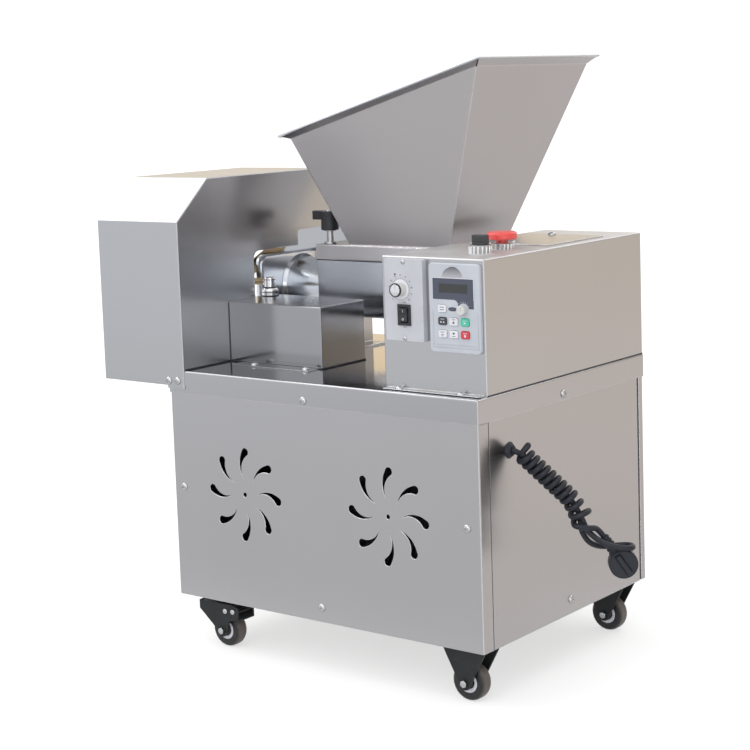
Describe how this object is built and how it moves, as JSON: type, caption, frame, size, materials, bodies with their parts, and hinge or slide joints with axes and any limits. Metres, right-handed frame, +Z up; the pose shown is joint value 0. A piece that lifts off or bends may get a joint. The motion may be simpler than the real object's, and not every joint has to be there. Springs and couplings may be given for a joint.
{
  "type": "dough divider",
  "caption": "Stainless cabinet on castors with a slanted hopper, screw feed, outlet tube under a guard hood, a turning knife, a control box and a wound mains cord.",
  "frame": {"origin": "middle of the footprint of the machine without its cord, on the floor", "axes": "+X to the operator's right, +Y away from the operator (into the machine), +Z up"},
  "size_m": [0.7964, 0.4556, 0.8154],
  "materials": {
    "stainless": "satin",
    "polished_steel": "polished",
    "drive_steel": "oiled",
    "bronze": "machined",
    "frame_steel": "dull",
    "motor_casting": "cast",
    "castor_black": "semi-gloss",
    "zinc": "plated",
    "castor_rubber": "matt",
    "panel_plastic": "satin",
    "black_plastic": "satin",
    "inverter_plastic": "satin",
    "window_plastic": "gloss",
    "knob_grey": "satin",
    "key_white": "satin",
    "key_dark": "satin",
    "key_green": "satin",
    "key_red": "satin",
    "stop_red": "gloss",
    "chrome_trim": "polished",
    "cord_rubber": "matt"
  },
  "bodies": {
    "machine": {"deck": "stainless", "front_panel": "stainless", "back_panel": "stainless", "right_panel": "stainless", "left_panel": "stainless", "control_box": "stainless", "access_plate": "stainless", "front_cover": "stainless", "guard": "stainless", "hopper": "stainless", "trough": "stainless", "trough_bracket": "stainless", "outlet_head": "polished_steel", "mitre_head": "polished_steel", "drive_chain": "drive_steel", "screw_bushes": "bronze", "base_frame": "frame_steel", "main_motor": "motor_casting", "cutter_motor": "motor_casting", "rigid_forks": "castor_black", "swivel_plates": "castor_black", "rigid_axles": "zinc", "speed_panel": "panel_plastic", "rocker_frame": "black_plastic", "inverter": "inverter_plastic", "inverter_window": "window_plastic", "button_bezels": "chrome_trim", "cord_gland": "cord_rubber", "cord": "cord_rubber", "plug": "cord_rubber"},
    "swivel_front": {"swivel_fork_front": "castor_black"},
    "swivel_back": {"swivel_fork_back": "castor_black"},
    "wheel_front_right": {"wheel_front_right": "castor_rubber"},
    "wheel_back_right": {"wheel_back_right": "castor_rubber"},
    "wheel_front_left": {"wheel_front_left": "castor_rubber"},
    "wheel_back_left": {"wheel_back_left": "castor_rubber"},
    "pedal_front": {"brake_pedal_front": "castor_black"},
    "pedal_back": {"brake_pedal_back": "castor_black"},
    "feed_front": {"feed_screw_front": "polished_steel", "gear_front": "drive_steel", "screw_sprocket": "drive_steel"},
    "feed_back": {"feed_screw_back": "polished_steel", "gear_back": "drive_steel"},
    "motor_drive": {"motor_output": "drive_steel"},
    "cutter_drive": {"cutter_shaft": "polished_steel"},
    "cutter": {"knife_shaft": "polished_steel", "knife": "polished_steel"},
    "clamp_lever": {"clamp_lever": "black_plastic"},
    "speed_knob": {"speed_knob": "chrome_trim"},
    "rocker": {"rocker": "black_plastic"},
    "inverter_knob": {"inverter_knob": "knob_grey"},
    "selector": {"selector": "black_plastic"},
    "stop_button": {"stop_button": "stop_red"},
    "key_program": {"key_program": "key_white"},
    "key_shift": {"key_shift": "key_dark"},
    "key_up": {"key_up": "key_white"},
    "key_run": {"key_run": "key_green"},
    "key_enter": {"key_enter": "key_white"},
    "key_down": {"key_down": "key_white"},
    "key_stop": {"key_stop": "key_red"}
  },
  "joints": [
    {"name": "swivel_front_turn", "type": "hinge", "parent": "machine", "child": "swivel_front", "pos_m": [-0.1485, -0.20227, 0.06], "axis": [0, 0, 1], "continuous": true},
    {"name": "wheel_front_right_roll", "type": "hinge", "parent": "machine", "child": "wheel_front_right", "pos_m": [0.2925, -0.20227, 0.025], "axis": [0, 1, 0], "continuous": true},
    {"name": "wheel_front_left_roll", "type": "hinge", "parent": "swivel_front", "child": "wheel_front_left", "pos_m": [-0.1265, -0.20227, 0.025], "axis": [0, 1, 0], "continuous": true},
    {"name": "pedal_front_press", "type": "hinge", "parent": "swivel_front", "child": "pedal_front", "pos_m": [-0.1055, -0.20227, 0.055], "axis": [0, 1, 0], "range_deg": [-18, 0]},
    {"name": "swivel_back_turn", "type": "hinge", "parent": "machine", "child": "swivel_back", "pos_m": [-0.1485, 0.14173, 0.06], "axis": [0, 0, 1], "continuous": true},
    {"name": "wheel_back_right_roll", "type": "hinge", "parent": "machine", "child": "wheel_back_right", "pos_m": [0.2925, 0.14173, 0.025], "axis": [0, 1, 0], "continuous": true},
    {"name": "wheel_back_left_roll", "type": "hinge", "parent": "swivel_back", "child": "wheel_back_left", "pos_m": [-0.1265, 0.14173, 0.025], "axis": [0, 1, 0], "continuous": true},
    {"name": "pedal_back_press", "type": "hinge", "parent": "swivel_back", "child": "pedal_back", "pos_m": [-0.1055, 0.14173, 0.055], "axis": [0, 1, 0], "range_deg": [-18, 0]},
    {"name": "feed_front_spin", "type": "hinge", "parent": "machine", "child": "feed_front", "pos_m": [0.0295, 0.04223, 0.484], "axis": [1, 0, 0], "continuous": true},
    {"name": "feed_back_spin", "type": "hinge", "parent": "machine", "child": "feed_back", "pos_m": [0.0295, 0.11123, 0.484], "axis": [1, 0, 0], "continuous": true},
    {"name": "motor_drive_spin", "type": "hinge", "parent": "machine", "child": "motor_drive", "pos_m": [0.2065, 0.04223, 0.215], "axis": [1, 0, 0], "continuous": true},
    {"name": "cutter_spin", "type": "hinge", "parent": "machine", "child": "cutter", "pos_m": [-0.1905, -0.05027, 0.502], "axis": [1, 0, 0], "continuous": true},
    {"name": "cutter_drive_spin", "type": "hinge", "parent": "machine", "child": "cutter_drive", "pos_m": [-0.1595, -0.05027, 0.44], "axis": [0, 0, 1], "continuous": true},
    {"name": "clamp_lever_turn", "type": "hinge", "parent": "machine", "child": "clamp_lever", "pos_m": [-0.0985, 0.01923, 0.58], "axis": [0, 0, 1], "range_deg": [0, 120]},
    {"name": "speed_knob_turn", "type": "hinge", "parent": "machine", "child": "speed_knob", "pos_m": [0.2045, -0.21627, 0.5255], "axis": [0, 1, 0], "range_deg": [-150, 150]},
    {"name": "rocker_tip", "type": "hinge", "parent": "machine", "child": "rocker", "pos_m": [0.2098, -0.21027, 0.493], "axis": [1, 0, 0], "range_deg": [-9, 9]},
    {"name": "inverter_knob_turn", "type": "hinge", "parent": "machine", "child": "inverter_knob", "pos_m": [0.2996, -0.21227, 0.5036], "axis": [0, 1, 0], "range_deg": [-150, 150]},
    {"name": "selector_turn", "type": "hinge", "parent": "machine", "child": "selector", "pos_m": [0.2735, -0.13027, 0.58], "axis": [0, 0, 1], "range_deg": [-45, 45]},
    {"name": "stop_button_press", "type": "slide", "parent": "machine", "child": "stop_button", "axis": [0, 0, 1], "range_m": [-0.004, 0]},
    {"name": "key_program_press", "type": "slide", "parent": "machine", "child": "key_program", "axis": [0, 1, 0], "range_m": [0, 0.0012], "stiffness_N_per_m": 900, "springref_m": -0.0008},
    {"name": "key_shift_press", "type": "slide", "parent": "machine", "child": "key_shift", "axis": [0, 1, 0], "range_m": [0, 0.0012], "stiffness_N_per_m": 900, "springref_m": -0.0008},
    {"name": "key_up_press", "type": "slide", "parent": "machine", "child": "key_up", "axis": [0, 1, 0], "range_m": [0, 0.0012], "stiffness_N_per_m": 900, "springref_m": -0.0008},
    {"name": "key_run_press", "type": "slide", "parent": "machine", "child": "key_run", "axis": [0, 1, 0], "range_m": [0, 0.0012], "stiffness_N_per_m": 900, "springref_m": -0.0008},
    {"name": "key_enter_press", "type": "slide", "parent": "machine", "child": "key_enter", "axis": [0, 1, 0], "range_m": [0, 0.0012], "stiffness_N_per_m": 900, "springref_m": -0.0008},
    {"name": "key_down_press", "type": "slide", "parent": "machine", "child": "key_down", "axis": [0, 1, 0], "range_m": [0, 0.0012], "stiffness_N_per_m": 900, "springref_m": -0.0008},
    {"name": "key_stop_press", "type": "slide", "parent": "machine", "child": "key_stop", "axis": [0, 1, 0], "range_m": [0, 0.0012], "stiffness_N_per_m": 900, "springref_m": -0.0008}
  ],
  "couplings": [
    {"joint": "feed_back_spin", "follows": "feed_front_spin", "ratio": -1},
    {"joint": "motor_drive_spin", "follows": "feed_front_spin", "ratio": 1},
    {"joint": "cutter_drive_spin", "follows": "cutter_spin", "ratio": -1}
  ]
}
